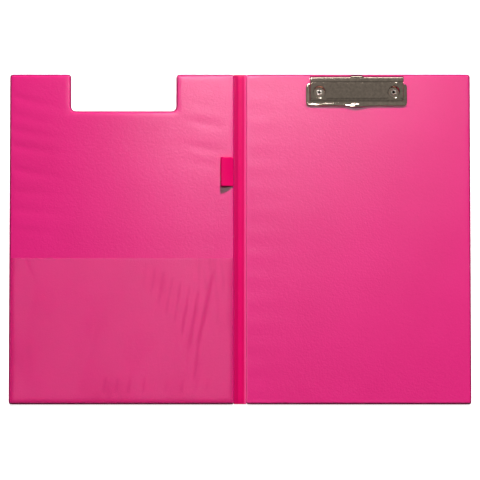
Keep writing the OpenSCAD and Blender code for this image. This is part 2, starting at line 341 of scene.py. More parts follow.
def rivet_steel(name):
    """Satin steel, with painted shade down the tubular rivet's bore: darker and less metallic
    lower down.
    """
    s = Shader(name)
    top = RIVET_HIGH[2]
    # painted shade: darker and less metallic down the bore, where little light reaches
    bore_shade = s.fade("Z", (top - 1.2, top - 0.5), 1.0, 0.0)
    lines = s.noise(1.4, 3.0, 0.6)
    spots = s.noise(0.5, 3.0, 0.6)
    body = s.colours(spots, [(0.35, srgb(196, 186, 174)), (0.65, srgb(226, 216, 204))])
    return s.finish(
        base_color=s.mix(bore_shade, body, srgb(40, 30, 28)),
        metallic=s.ramp(bore_shade, 0.0, 1.0, 1.0, 0.2),
        roughness=s.grained(lines, 0.2, 0.3),
        normal=s.bump(lines, 0.02, 0.3),
    )


def greyboard(name):
    """Grey stiffening board with short fibres."""
    s = Shader(name)
    fibre = s.noise(0.8, 4.0, 0.6, s.place((0.4, 1.0, 1.0)))
    return s.finish(
        base_color=s.mottled(fibre, srgb(128, 118, 108), srgb(160, 150, 138)),
        roughness=s.grained(fibre, 0.85, 0.95),
        normal=s.bump(fibre, 0.1, 0.5),
    )


FILM_CLEAR = 0.2          # height over the lining at which the film is clearest
FILM_HAZY = 0.6           # and at which it is haziest
FILM_ALPHA = [(0.0, 0.13), (0.3, 0.07), (1.0, 0.08)]


def clear_film(name):
    """Thin cloudy film: clearer where it clings to the sheet below it."""
    s = Shader(name)
    gap = s.fade("Z", (TOP + FILM_CLEAR, TOP + FILM_HAZY), 0.0, 1.0)
    cloud = s.noise(0.03, 3.0, 0.6)
    haze = s.maths("MULTIPLY", gap, s.grained(cloud, 0.8, 1.1))
    grain = s.noise(0.8, 3.0, 0.6)
    return s.finish(
        base_color=s.colours(haze, [(0.0, srgb(200, 16, 100)), (0.45, srgb(240, 128, 172))]),
        roughness=s.grained(grain, 0.3, 0.45),
        alpha=s.colours(haze, [(at, (share,) * 3 + (1,)) for at, share in FILM_ALPHA]),
        specular_ior_level=0.4,
        normal=s.bump(grain, 0.03, 0.3),
    )


PINK = srgb(229, 9, 123)
PINK_DEEP = srgb(221, 5, 116)
# painted shade for the welded margins
WELD_SHADE_COLOUR = srgb(140, 6, 74)
# painted shade for the spine's fold bands
FOLD_SHADE_COLOUR = srgb(176, 2, 78)
# painted highlight beside the back cover's hinge
FOLD_HIGHLIGHT = srgb(242, 78, 146)
LINING = embossed_plastic(
    "pink_linen_lining", PINK, PINK_DEEP, 0.38, 1.0, weld_shade=True, fold_highlight=True
)
FRONT_LINING = embossed_plastic(
    "pink_linen_front_lining", PINK, PINK_DEEP, 0.38, 1.0, CROWN_HEIGHT, weld_shade=True
)
OUTER = embossed_plastic("pink_linen_outer", PINK, PINK_DEEP, 0.45, 0.5)
SPINE = smooth_plastic("pink_spine", srgb(227, 5, 100), srgb(219, 3, 95), 0.3, bands=True)
LOOP = smooth_plastic("pink_loop", srgb(228, 7, 100), srgb(220, 5, 94), 0.3)
NICKEL = plated_steel("nickel_plate", srgb(234, 214, 195), 0.08, (0.08, 1.2, 1.0))
BRIGHT = plated_steel("bright_steel", srgb(214, 210, 204), 0.2)
RIVET = rivet_steel("rivet_steel")
WIRE = plated_steel("spring_wire", srgb(150, 148, 146), 0.3)
GREYBOARD = greyboard("greyboard")
FILM = clear_film("pocket_film")

# ---- Meshes ----


def add_object(name, data):
    """A new object in the scene."""
    made = bpy.data.objects.new(name, data)
    bpy.context.scene.collection.objects.link(made)
    return made


def add_piece(name, points, faces, material):
    """A mesh piece from points in millimetres."""
    mesh = bpy.data.meshes.new(name)
    mesh.from_pydata([tuple(float(c) * MM for c in p) for p in points], [], faces)
    mesh.validate()
    mesh.materials.append(material)
    piece = add_object(name, mesh)
    return piece


def grid_faces(rows, per_row):
    """Faces between rows of points that follow each other."""
    faces = []
    for j in range(rows):
        for i in range(per_row - 1):
            a = j * per_row + i
            faces.append((a, a + 1, a + per_row + 1, a + per_row))
    return faces


@contextmanager
def editing(piece):
    """The piece's mesh, opened for editing, then written back and shaded smooth."""
    bm = bmesh.new()
    bm.from_mesh(piece.data)
    yield bm
    bm.to_mesh(piece.data)
    bm.free()
    piece.data.shade_smooth()


def clean(piece, distance=0.0005):
    """Merges points that lie together and makes the faces look outwards."""
    with editing(piece) as bm:
        bmesh.ops.remove_doubles(bm, verts=bm.verts, dist=distance * MM)
        bmesh.ops.recalc_face_normals(bm, faces=bm.faces)


def thicken(piece, thickness):
    """Gives a sheet its thickness on the side away from its normals, and rounds it.

    Its mesh is replaced by what these modifiers make of it.
    """
    solid = piece.modifiers.new("thickness", "SOLIDIFY")
    solid.thickness = thickness * MM
    solid.offset = -1.0
    solid.use_even_offset = False
    rounded = piece.modifiers.new("rounding", "SUBSURF")
    rounded.levels = 1
    rounded.render_levels = 1
    graph = bpy.context.evaluated_depsgraph_get()
    flat_sheet = piece.data
    piece.data = bpy.data.meshes.new_from_object(piece.evaluated_get(graph))
    piece.modifiers.clear()
    piece.data.shade_smooth()
    bpy.data.meshes.remove(flat_sheet)


# ---- Cover sheets ----

GRID = 3.5            # spacing of the flat part's grid
LAST_RING = 6.0       # where the flat part starts, in from the edge
CORNER_STEPS = 3      # grid steps on each side of a corner
HINGE_SCALE = 1 / 3   # the welded margin is a third as wide along the hinge
MARGIN = 1.5          # as along the other edges
LEAST_R = 0.05        # rings never have quite sharp corners
SLACK = 0.01          # room for rounding where lengths are compared
RING_SHARES = (0.35, 0.7)   # where the rings between the profile and the flat part lie


def smooth_step(t):
    """0 up to t = 0, 1 from t = 1 on, and an S between."""
    t = min(max(t, 0.0), 1.0)
    return t * t * (3 - 2 * t)


def hinge_inset(d):
    """How far in a ring lies along the hinge, where the margin is narrow."""
    return d * HINGE_SCALE if d < MARGIN else d - MARGIN * (1 - HINGE_SCALE)


def cover_corners(notched, d):
    """Corners of a ring that lies d in from the edge: x, y and radius."""
    x0 = COVER_X + hinge_inset(d)
    x1 = OUTER_X - d
    y1 = HALF_H - d
    hard = max(CORNER_R - d, LEAST_R)
    mouth = max(MOUTH_R - d, LEAST_R)
    hollow = INNER_R + d
    if not notched:
        return [(x0, -y1, hard), (x1, -y1, hard), (x1, y1, hard), (x0, y1, hard)]
    n0, n1 = NOTCH_X[0] - d, NOTCH_X[1] + d
    floor = NOTCH_Y - d
    return [
        (x0, -y1, hard), (x1, -y1, hard), (x1, y1, hard), (n1, y1, mouth),
        (n1, floor, hollow), (n0, floor, hollow), (n0, y1, mouth), (x0, y1, hard),
    ]


def grid_lines(corner_values):
    """Grid lines through every corner of the flat part, with even steps beside each."""
    keys = set()
    reach = CORNER_STEPS * GRID
    low, high = min(corner_values), max(corner_values)
    for c in corner_values:
        keys |= {k for k in (c - reach, c, c + reach) if low - SLACK <= k <= high + SLACK}
    keys = sorted(keys)
    lines = []
    for a, b in zip(keys, keys[1:]):
        count = max(1, math.ceil((b - a) / GRID - SLACK))
        lines += [a + (b - a) * i / count for i in range(count)]
    return np.array(lines + [keys[-1]])


def unit(v):
    """The direction of v, of length 1."""
    return v / np.linalg.norm(v)


def corner_frame(corners, i):
    """Corner i, and the directions from it to the corners before and after it."""
    here = np.array(corners[i][:2])
    before = np.array(corners[i - 1][:2])
    after = np.array(corners[(i + 1) % len(corners)][:2])
    return here, unit(before - here), unit(after - here)


def stations(inner, i, here, b, xs, ys):
    """Points on the edge from here along b, at the flat part's grid lines between its corners."""
    along = 0 if abs(b[0]) > 0.5 else 1
    first, last = inner[i][along], inner[(i + 1) % len(inner)][along]
    reach = CORNER_STEPS * GRID + SLACK
    low, high = min(first, last) + reach, max(first, last) - reach
    between = [v for v in (xs, ys)[along] if low < v < high]
    if first > last:
        between.reverse()
    return [(here[0], v) if along else (v, here[1]) for v in between]


def ring_points(corners, inner, xs, ys):
    """One closed ring. Between corners its points stand at the grid lines of the flat part."""
    ring = []
    for i in range(len(corners)):
        here, a, b = corner_frame(corners, i)
        r = corners[i][2]
        centre = here + r * (a + b)
        steps = 2 * CORNER_STEPS
        for k in range(steps + 1):
            t = k / steps * math.pi / 2
            ring.append(centre - r * (b * math.cos(t) + a * math.sin(t)))
        ring += stations(inner, i, here, b, xs, ys)
    return np.array(ring)


def flat_ring(inner, xs, ys):
    """The ring where the flat part starts: sharp corners, and every point on a grid line."""
    ring = []
    for i in range(len(inner)):
        here, a, b = corner_frame(inner, i)
        ring += [here + a * GRID * k for k in range(CORNER_STEPS, 0, -1)]
        ring.append(here.copy())
        ring += [here + b * GRID * k for k in range(1, CORNER_STEPS + 1)]
        ring += stations(inner, i, here, b, xs, ys)
    return np.array(ring)


def cover_sheet(notched, profile, height):
    """Points and faces of a sheet over a cover on the +X side, seen from above.

    profile is [(inset, z)] from the edge inwards, and height(x, y, inset) is added to z.
    """
    inner = cover_corners(notched, LAST_RING)
    xs = grid_lines([c[0] for c in inner])
    ys = grid_lines([c[1] for c in inner])
    last = flat_ring(inner, xs, ys)
    rings = [(ring_points(cover_corners(notched, d), inner, xs, ys), d, z) for d, z in profile]
    start, start_d, z = rings[-1]
    for share in RING_SHARES:
        inset = start_d * (1 - share) + LAST_RING * share
        rings.append((start + (last - start) * share, inset, z))
    rings.append((last, LAST_RING, z))
    points, faces = [], []
    for ring, d, level in rings:
        points += [(p[0], p[1], level + height(p[0], p[1], d)) for p in ring]
    size = len(last)
    for a in range(0, (len(rings) - 1) * size, size):
        for i in range(size):
            j = (i + 1) % size
            faces.append((a + i, a + j, a + size + j, a + size + i))
    first = len(points)
    points += [(x, y, z + height(x, y, LAST_RING)) for x in xs for y in ys]
    n_low, n_high = NOTCH_X[0] - LAST_RING, NOTCH_X[1] + LAST_RING
    for i in range(len(xs) - 1):
        for j in range(len(ys) - 1):
            x, y = (xs[i] + xs[i + 1]) / 2, (ys[j] + ys[j + 1]) / 2
            if notched and n_low < x < n_high and y > NOTCH_Y - LAST_RING:
                continue
            a = first + i * len(ys) + j
            b = a + len(ys)
            faces.append((a, b, b + 1, a + 1))
    return np.array(points), faces


def drop_loose(piece):
    """Removes the points that no face uses."""
    with editing(piece) as bm:
        loose = [v for v in bm.verts if not v.link_faces]
        bmesh.ops.delete(bm, geom=loose, context="VERTS")


def orient(piece, up):
    """Turns all faces the same way round, with the flat middle looking up or down."""
    with editing(piece) as bm:
        bmesh.ops.recalc_face_normals(bm, faces=bm.faces)
        total = sum(f.normal.z * f.calc_area() for f in bm.faces)
        if (total > 0) != up:
            bmesh.ops.reverse_faces(bm, faces=bm.faces)


# Edges of the sheets: distance in from the edge, and height
LINING_PROFILE = [
    (0.0, 0.42), (0.06, 0.62), (0.22, 0.74), (0.5, 0.74), (0.85, 0.68), (1.15, 0.74),
    (1.36, 1.02), (1.5, 1.6), (1.62, 2.15), (1.84, 2.5), (2.2, 2.66), (2.9, 2.7),
]
OUTER_PROFILE = [(0.0, 0.3), (0.06, 0.12), (0.25, 0.02), (0.7, 0.0), (1.5, 0.0), (2.9, 0.0)]

# Creases in the front cover's lining: y where it starts, slope inwards, and depth
EDGE_CREASES = [
    (147.0, -0.24, 0.36), (128.0, -0.2, 0.2), (112.0, -0.15, 0.3), (95.0, -0.13, 0.4),
    (73.0, -0.2, 0.38), (51.0, -0.12, 0.22), (31.0, -0.1, 0.28), (9.0, -0.08, 0.2),
]
SPINE_CREASES = [(113.6, 0.2, 0.26), (89.3, 0.13, 0.24), (74.0, 0.1, 0.13), (134.0, 0.12, 0.13)]
EDGE_CREASE_W = 3.6
SPINE_CREASE_W = 3.8
EDGE_CREASE_REACH = 42.0    # they fade out over this length
SPINE_CREASE_AT = 31.0      # distance from the fold at which these are deepest
SPINE_CREASE_REACH = 17.0
FREE_FROM = 2.0             # the sheet is held down this far in, and comes free
FREE_OVER = 4.0             # over this width


def creases_at(along, y, creases, width):
    """Sum of the troughs at y, at a distance along them."""
    depth = 0.0
    for start, slope, most in creases:
        off = y - start - slope * along
        depth += most * math.exp(-((off / width) ** 2))
    return depth


def front_height(x, y, d):
    """Height added to the front cover's lining. x is the distance from the spine's middle."""
    fade = smooth_step((d - FREE_FROM) / FREE_OVER)
    from_edge = OUTER_X - x
    wander = 2.0 * noise.noise(Vector((x * 0.02, y * 0.02, 3.0)))
    reach = math.exp(-((from_edge / EDGE_CREASE_REACH) ** 2))
    h = -creases_at(from_edge, y + wander, EDGE_CREASES, EDGE_CREASE_W) * reach
    from_spine = x - COVER_X
    span = math.exp(-((from_spine - SPINE_CREASE_AT) / SPINE_CREASE_REACH) ** 2)
    h -= creases_at(from_spine, y + wander, SPINE_CREASES, SPINE_CREASE_W) * span
    above_pocket = smooth_step((y + 8.0) / 25.0)
    h += 0.05 + 0.15 * above_pocket + 0.12 * noise.noise(Vector((x * 0.02, y * 0.025, 1.0)))
    return h * fade


def back_height(x, y, d):
    """Height added to the back cover's lining: slow waves, and none under the clip."""
    fade = smooth_step((d - FREE_FROM) / FREE_OVER)
    from_spine = x - COVER_X
    spine_wave = math.exp(-from_spine / 26.0)
    phase = (y + 5.0 * noise.noise(Vector((x * 0.01, y * 0.015, 5.0)))) / 23.0
    h = 0.1 * spine_wave * math.sin(phase * 2 * math.pi)
    h += 0.12 * noise.noise(Vector((x * 0.018, y * 0.022, 2.0)))
    under_clip = smooth_step((y - 125.0) / 10.0) * smooth_step((62.0 - abs(x - CLIP_X)) / 8.0)
    return h * fade * (1 - under_clip)


def flat(x, y, d):
    """Height added to a sheet that lies on the table."""
    return 0.0


def finish_sheet(piece, node, body, up, thickness):
    """Makes a sheet solid, and lets it ride on its body in the place of a CAD node."""
    orient(piece, up)
    thicken(piece, thickness)
    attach(piece, body)
    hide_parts(node)


def make_cover(name, node, body, material, side, notched, profile, height, up,
               holes=(), hole_profile=()):
    """A sheet over one cover: side is 1 for the back cover and -1 for the front one."""
    points, faces = cover_sheet(notched, profile, height)
    points[:, 0] *= side
    piece = add_piece(name, points, faces, material)
    drop_loose(piece)
    clean(piece, MERGE)
    for centre in holes:
        punch(piece, centre, COVER_HOLE_REACH, hole_profile)
    finish_sheet(piece, node, body, up, SKIN)


# ---- Round holes in a grid ----

MERGE = 0.01             # points of two rings that are this close become one
COVER_HOLE_REACH = 8.5   # half width of the square of grid that a hole's rings replace
JAW_HOLE_REACH = 7.0


def punch(piece, centre, reach, profile):
    """Opens a round hole: profile is [(radius, height over the grid)] from outside inwards."""
    with editing(piece) as bm:
        punch_mesh(bm, centre[0] * MM, centre[1] * MM, reach, profile)


def punch_mesh(bm, cx, cy, reach, profile):
    """The same on an open mesh, round cx and cy in metres."""
    doomed = set()
    for face in bm.faces:
        mid = face.calc_center_median()
        if max(abs(mid.x - cx), abs(mid.y - cy)) < reach * MM:
            doomed.add(face)
    edge_verts = set()
    for face in doomed:
        for edge in face.edges:
            if sum(f in doomed for f in edge.link_faces) == 1:
                edge_verts.update(edge.verts)
    loop = sorted(edge_verts, key=lambda v: math.atan2(v.co.y - cy, v.co.x - cx))
    level = sum(v.co.z for v in loop) / len(loop)
    angles = [math.atan2(v.co.y - cy, v.co.x - cx) for v in loop]
    spread = sum((v.co.y - cy) ** 2 for v in loop)
    slope = sum((v.co.y - cy) * (v.co.z - level) for v in loop) / spread
    bmesh.ops.delete(bm, geom=list(doomed), context="FACES")
    outer = loop
    for radius, height in profile:
        inner = []
        for a in angles:
            dx, dy = radius * MM * math.cos(a), radius * MM * math.sin(a)
            inner.append(bm.verts.new((cx + dx, cy + dy, level + slope * dy + height * MM)))
        for i in range(len(loop)):
            j = (i + 1) % len(loop)
            bm.faces.new((outer[i], outer[j], inner[j], inner[i]))
        outer = inner
    bmesh.ops.delete(bm, geom=[v for v in bm.verts if not v.link_faces], context="VERTS")
    bmesh.ops.recalc_face_normals(bm, faces=bm.faces)


# ---- Spine ----

SPINE_ROWS = 170
SPINE_END = 0.3     # the spine's sheets stop this far inside the covers' ends
SPINE_TUCK = 0.04   # the halves overlap in the middle, each end a little under the other
# Sections across the spine: X, and the height of the face that shows
INNER_SECTION = [
    (-6.4, 0.5), (-6.25, 0.62), (-6.0, 0.69), (-5.7, 0.68), (-5.35, 0.58), (-5.05, 0.56),
    (-4.6, 0.66), (-3.9, 0.78), (-3.1, 0.88), (-2.4, 1.0), (-1.8, 1.16), (-1.2, 1.24), (-0.6, 1.2),
    (0.0, 1.1), (0.7, 1.02), (1.6, 0.97), (2.6, 0.92), (3.6, 0.86), (4.4, 0.74), (5.05, 0.56),
    (5.35, 0.58), (5.7, 0.68), (6.0, 0.69), (6.25, 0.62), (6.4, 0.5),
]
OUTER_HALF = [
    (1.2, 0.0), (2.4, 0.0), (3.6, 0.0), (4.8, 0.0), (5.2, 0.08), (5.5, 0.1), (5.8, 0.08),
    (6.2, 0.05), (6.6, 0.1),
]
OUTER_SECTION = [(-x, z) for x, z in reversed(OUTER_HALF)] + [(0.0, 0.0)] + OUTER_HALF


def spine_half(name, side, section, node, material, up):
    """Half of a spine sheet, from the middle to under the edge of one cover's sheet."""
    near = [p for p in section if p[0] * side >= 0]
    lap_x, lap_z = min((p for p in section if p[0] * side < 0), key=lambda p: abs(p[0]))
    lap = [(lap_x, lap_z - SPINE_TUCK if up else lap_z + SPINE_TUCK)]
    section = lap + near if side > 0 else near + lap
    points = []
    for j in range(SPINE_ROWS + 1):
        y = -HALF_H + SPINE_END + 2 * (HALF_H - SPINE_END) * j / SPINE_ROWS
        end = smooth_step((HALF_H - abs(y)) / 4.0)
        for x, z in section:
            if up:
                loose = end * smooth_step((4.8 - abs(x)) / 2.0)
                wave = 0.1 * noise.noise(Vector((x * 0.15, y * 0.035, 4.0)))
                z = WELD_TOP + (z - WELD_TOP) * (loose if z > WELD_TOP else 1.0) + wave * loose
            points.append((x, y, z))
    piece = add_piece(name, points, grid_faces(SPINE_ROWS, len(section)), material)
    orient(piece, up)
    thicken(piece, SKIN * 0.9)
    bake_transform(piece)
    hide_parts(node)


def make_spine():
    """Both sheets of the spine, each as two halves, one on each cover's side."""
    for side, body, name in ((-1, "front_cover", "front"), (1, "back_cover", "back")):
        spine_half("spine_inner_" + name, side, INNER_SECTION, "spine_inner_lining",
                   SPINE, True)
        spine_half("spine_outer_" + name, side, OUTER_SECTION, "spine_outer_skin",
                   OUTER, False)


# ---- Covers, as pieces ----


def make_covers():
    """The four cover sheets, with holes for the rivets in those of the back cover."""
    rivets = [(CLIP_X + side * RIVET_PITCH / 2, RIVET_Y) for side in (-1, 1)]
    # Rings of a hole for a rivet's shank, and for its washer: radius, and height over the sheet
    shank = [(5.5, 0.0), (3.4, 0.0), (2.25, 0.0), (2.15, -0.2)]
    washer = [(7.0, 0.0), (5.6, 0.0), (5.15, 0.04), (5.05, 0.15)]
    make_cover("back_lining", "back_inner_lining", "back_cover", LINING,
               1, False, LINING_PROFILE, back_height, True, rivets, shank)
    make_cover("front_lining", "front_inner_lining", "front_cover", FRONT_LINING,
               -1, True, LINING_PROFILE, front_height, True)
    make_cover("back_outer", "back_outer_skin", "back_cover", OUTER,
               1, False, OUTER_PROFILE, flat, False, rivets, washer)
    make_cover("front_outer", "front_outer_skin", "front_cover", OUTER,
               -1, True, OUTER_PROFILE, flat, False)


# ---- Document pocket ----

FILM_STEP = 1.8       # spacing of the film's grid
FILM_T = 0.16
FILM_PUFF = 0.36      # how far the film stands off where nothing holds it
FILM_PUFF_VARY = 0.2
FILM_RIPPLE = 0.1
CREASE_REACH = 25.0   # a crease has no effect further than this across
FOLDS = 8             # in the fan
PLEATS = 15           # beside it
FOOT_PLEATS = 9       # along the foot


def crease(x, y, top, bottom, width):
    """1 on a line from top to bottom, falling to 0 over its width and towards its ends."""
    ax, ay = top
    bx, by = bottom
    dx, dy = bx - ax, by - ay
    t = ((x - ax) * dx + (y - ay) * dy) / (dx * dx + dy * dy)
    px, py = ax + dx * t, ay + dy * t
    off = math.hypot(x - px, y - py)
    ends = smooth_step((t + 0.25) / 0.3) * smooth_step((1.25 - t) / 0.3)
    return math.exp(-((off / width) ** 2)) * ends


def film_creases():
    """Creases where the film clings to the lining: a fan towards the spine, and fine pleats.

    Each is its top, its bottom, its width and how closely it clings.
    """
    rng = random.Random(SEED)
    found = []
    for i in range(FOLDS):
        t = i / (FOLDS - 1)
        top = (-105.0 + 62.0 * t, -24.0 - 31.0 * t ** 1.1)
        length = 15.0 + 34.0 * t
        lean = 3.0 + 5.0 * t
        found.append((top, (top[0] - lean, top[1] - length), 1.0 + 0.5 * t, 0.6 + 0.3 * t))
    found.append(((-29.0, -40.0), (-42.0, -104.0), 2.0, 1.0))
    found.append(((-42.0, -104.0), (-46.5, -141.0), 1.6, 0.7))
    for i in range(PLEATS):
        x = -46.0 + 2.6 * i + rng.uniform(-0.6, 0.6)
        top = -22.0 - rng.uniform(0.0, 9.0)
        bottom = (x - rng.uniform(0.0, 3.0), top - rng.uniform(30.0, 75.0))
        found.append(((x, top), bottom, 0.7, 0.5))
    for i in range(FOOT_PLEATS):
        x = -140.0 + 13.5 * i + rng.uniform(-3.0, 3.0)
        found.append(((x, -141.0 - rng.uniform(0, 4.0)), (x - 2.0, -156.0), 1.6, 0.6))
    found.append(((-219.0, -21.5), (-213.0, -37.0), 1.8, 0.7))
    return found


def make_pocket():
    """A thin film that lies loosely on the lining, welded along three sides."""
    x0, x1 = POCKET_LOW[0], POCKET_HIGH[0]
    y0, y1 = POCKET_LOW[1], POCKET_HIGH[1]
    creases = film_creases()
    columns = round((x1 - x0) / FILM_STEP)
    rows = round((y1 - y0) / FILM_STEP)
    points = []
    for j in range(rows + 1):
        for i in range(columns + 1):
            x = x0 + (x1 - x0) * i / columns
            y = y0 + (y1 - y0) * j / rows
            inside = min(x - x0, x1 - x, y - y0)
            loose = smooth_step((inside - 1.2) / 4.0)
            if j == rows:
                y += 0.25 * noise.noise(Vector((x * 0.05, 0, 6.0)))
            puff = FILM_PUFF + FILM_PUFF_VARY * noise.noise(Vector((x * 0.03, y * 0.022, 7.0)))
            puff += FILM_RIPPLE * noise.noise(Vector((x * 0.16, y * 0.05, 8.0)))
            cling = 0.0
            for top, bottom, width, depth in creases:
                if abs(x - top[0]) < CREASE_REACH:
                    cling = max(cling, depth * crease(x, y, top, bottom, width))
            lift = max(0.0, puff) * (1 - cling)
            points.append((x, y, TOP + FILM_CLEAR + lift * loose))
    piece = add_piece("pocket_film", points, grid_faces(rows, columns + 1), FILM)
    finish_sheet(piece, "document_pocket", "front_cover", True, FILM_T)


# ---- Pen loop ----

LOOP_T = 0.6
LOOP_ROWS = 26
LOOP_SAG = 0.45             # the upper run rises this much in its middle
NOSE_STEPS = 12             # round the nose, in turns of NOSE_TURN degrees
NOSE_TURN = 15.3
FLAT_RUN = (0.0, 1.0, 2.2, 3.6, 5.4, 7.4, 9.4)   # points on the run that lies on the lining
UPPER_RUN = (0.12, 0.25, 0.4, 0.55, 0.7, 0.83, 0.93, 1.0)


def make_pen_loop():
    """A strip folded back on itself: both ends are welded in at the spine."""
    root_x, nose_x = LOOP_HIGH[0], LOOP_LOW[0]
    low = LOOP_LOW[2] + LOOP_T
    high = LOOP_HIGH[2]
    nose_r = (high - low) / 2
    centre = (nose_x + LOOP_T + nose_r, low + nose_r)
    path = [(root_x - d, low) for d in FLAT_RUN]
    for k in range(NOSE_STEPS + 1):
        a = math.radians(-90 - NOSE_TURN * k)
        path.append((centre[0] + nose_r * math.cos(a), centre[1] + nose_r * math.sin(a)))
    tip = path[-1]
    end = (root_x - 0.4, LOOP_LOW[2] + LOOP_T * 1.9)
    for t in UPPER_RUN:
        sag = LOOP_SAG * math.sin(math.pi * t)
        path.append((tip[0] + (end[0] - tip[0]) * t, tip[1] + (end[1] - tip[1]) * t + sag))
    points = []
    y0, y1 = LOOP_LOW[1], LOOP_HIGH[1]
    for j in range(LOOP_ROWS + 1):
        y = y0 + (y1 - y0) * j / LOOP_ROWS
        for i, (x, z) in enumerate(path):
            free = i > len(FLAT_RUN)
            wave = 0.05 * noise.noise(Vector((x * 0.3, y * 0.12, 2.0))) if free else 0.0
            points.append((x, y, z + wave))
    faces = grid_faces(LOOP_ROWS, len(path))
    piece = add_piece("pen_loop_strip", points, faces, LOOP)
    with editing(piece) as bm:
        bmesh.ops.recalc_face_normals(bm, faces=bm.faces)
        bm.faces.ensure_lookup_table()
        nose = max(bm.faces, key=lambda f: -f.calc_center_median().x)
        if nose.normal.x > 0:
            bmesh.ops.reverse_faces(bm, faces=bm.faces)
    thicken(piece, LOOP_T * 0.9)
    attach(piece, "front_cover")
    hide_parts("pen_loop")


# ---- Clip jaw ----

# Heights are the frame's. u is across the clip from its middle, and v is to the rear of the pin.
STEEL_T = 0.7
BARREL_R = 3.0
PANEL_TOP = PIN_Z + BARREL_R - 0.4
PANEL_HALF = 46.6
PANEL_FRONT = 20.5
PANEL_REAR = 3.4
LEVEL_REAR = 1.5      # the panel's rear strip is level, and the rest falls to the front
PANEL_FALL = 3.2
PANEL_NOSE = 0.8      # its front edge falls this much more, from NOSE_FROM on
NOSE_FROM = 17.5
GROOVE_V = -3.4
GROOVE_W = 0.45
GROOVE_DEPTH = 0.28
JAW_STEP = 0.85
REAR_VS = [-PANEL_REAR, -3.75, -4.1, -4.2, -4.5, -5.0, -5.8, -6.7]
RIM_TOP = TOP + 1.5
RIM_LOW = TOP + 0.15
RIM_REAR = 4.1
RIM_CORNER = 3.6
WALL_U = 48.1
TAB_REACH = 1.1
TAB_LIFT = 1.3
TAB_FROM = 2.0        # the tab starts this far in front of the panel
TAB_WIDEST = 30.0     # and ends this far from the middle
TAB_RING = 8          # it grows from this ring on, over so many rings
TAB_RINGS = 4
DIMPLE = (40.3, -1.9)
CORNER_VS = 3         # stations that a ring's round corner takes from its side
CORNER_US = 4         # and from its front

# Rings round the panel: half width, height at the sides, distance in front of the pin,
# height at the front, where the sheet dips and rises again in a rolled lip, and corner radius
JAW_RINGS = [
    (46.95, PANEL_TOP, 20.85, 5.45, 1.2),
    (47.35, PANEL_TOP - 0.06, 21.25, 5.27, 1.6),
    (47.7, PANEL_TOP - 0.26, 21.6, 5.07, 1.95),
    (47.92, PANEL_TOP - 0.65, 21.95, 4.85, 2.15),
    (48.02, PANEL_TOP - 1.6, 22.4, 4.58, 2.3),
    (48.06, RIM_TOP + 1.3, 22.9, 4.32, 2.4),
    (48.15, RIM_TOP + 0.6, 23.4, 4.1, 2.5),
    (48.4, RIM_TOP + 0.17, 23.95, RIM_TOP - 0.22, 2.7),
    (48.95, RIM_TOP, 24.6, RIM_TOP + 0.05, 3.0),
    (50.6, RIM_TOP, 25.4, RIM_TOP + 0.42, 3.3),
    (51.5, RIM_TOP - 0.04, 26.2, RIM_TOP + 0.5, 3.5),
    (52.0, RIM_TOP - 0.26, 26.9, RIM_TOP + 0.22, 3.6),
    (52.28, RIM_TOP - 0.7, 27.3, RIM_TOP - 0.4, 3.6),
    (52.3, RIM_LOW, 27.4, RIM_LOW, 3.6),
]
DENTED_RINGS = 4      # the first rings share the panel's dents
SHOULDER_RINGS = 5    # and these close the barrel's ends too
WALL_RINGS = 7        # these also run behind the rims
LIP_RINGS = 12        # up to this one the front is rolled into the lip

# Rows from the panel's rear edge to the barrel: place, and height from the barrel's top
LEAD_ROWS = [
    (-PANEL_REAR, -0.4), (-3.1, -0.37), (-2.8, -0.24), (-2.5, -0.08), (-2.2, 0.0),
    (-1.8, 0.0), (-1.4, 0.0), (-1.0, 0.0), (-0.5, 0.0),
]
LEAD_BEND = 1.2       # the panel's dents fade out over this length
BARREL_END_R = 1.05   # its ends close to this radius
BARREL_ROWS = 12
BARREL_TURN = 10      # degrees between its rows
BULGE_HALF = 7.0      # in its middle it bulges to the rear
BULGE_EDGE = 1.6
BULGE_SHIFT = 0.95
BULGE_ROWS = 3.0
WINDOW_RINGS = [      # round the clearance holes: radius, and height over the panel
    (6.9, 0.0), (6.5, -0.03), (6.15, -0.12), (5.85, -0.28), (5.62, -0.5), (5.5, -0.78),
]

EAR_X = 47.95         # the ears' outer faces
EAR_TURNS = 40
EAR_SECTION = [       # radius, and depth in from the outer face
    (1.05, 0.0), (1.05, 0.6), (1.12, 0.68), (2.7, 0.68), (2.9, 0.5), (2.9, 0.1), (2.75, 0.0),
]


class Plate:
    """Points and faces of a plate that is made row by row."""

    def __init__(self):
        self.points = []
        self.faces = []

    def add(self, u, v, z):
        self.points.append((CLIP_X + u, PIN_Y + v, z))
        return len(self.points) - 1

    def strip(self, a, b, skip=()):
        """Faces between two rows of points, but for the places to skip."""
        for i in range(len(a) - 1):
            if i not in skip:
                self.faces.append((a[i], a[i + 1], b[i + 1], b[i]))

    def join(self, rows):
        for a, b in zip(rows, rows[1:]):
            self.strip(a, b)


def even_steps(a, b, step):
    """Numbers from a to b, about a step apart."""
    count = max(1, round(abs(b - a) / step))
    return [a + (b - a) * i / count for i in range(count + 1)]


def jaw_path(half, front, r, us, ys):
    """Points of one open ring from the left rear round the front to the right rear.

    Each is u, v and how much it belongs to the front.
    """
    steps = CORNER_VS + CORNER_US - 1

    def corner(sign, first, k):
        a = math.radians(first + 90 * k / steps)
        share = smooth_step(k / steps if sign < 0 else 1 - k / steps)
        return (sign * (half - r) + r * math.cos(a), -front + r + r * math.sin(a), share)

    side = ys[:-CORNER_VS]
    path = [(-half, y, 0.0) for y in side]
    path += [corner(-1, 180, k) for k in range(steps + 1)]
    path += [(u, -front, 1.0) for u in us[CORNER_US:-CORNER_US]]
    path += [corner(1, 270, k) for k in range(steps + 1)]
    return path + [(half, y, 0.0) for y in reversed(side)]


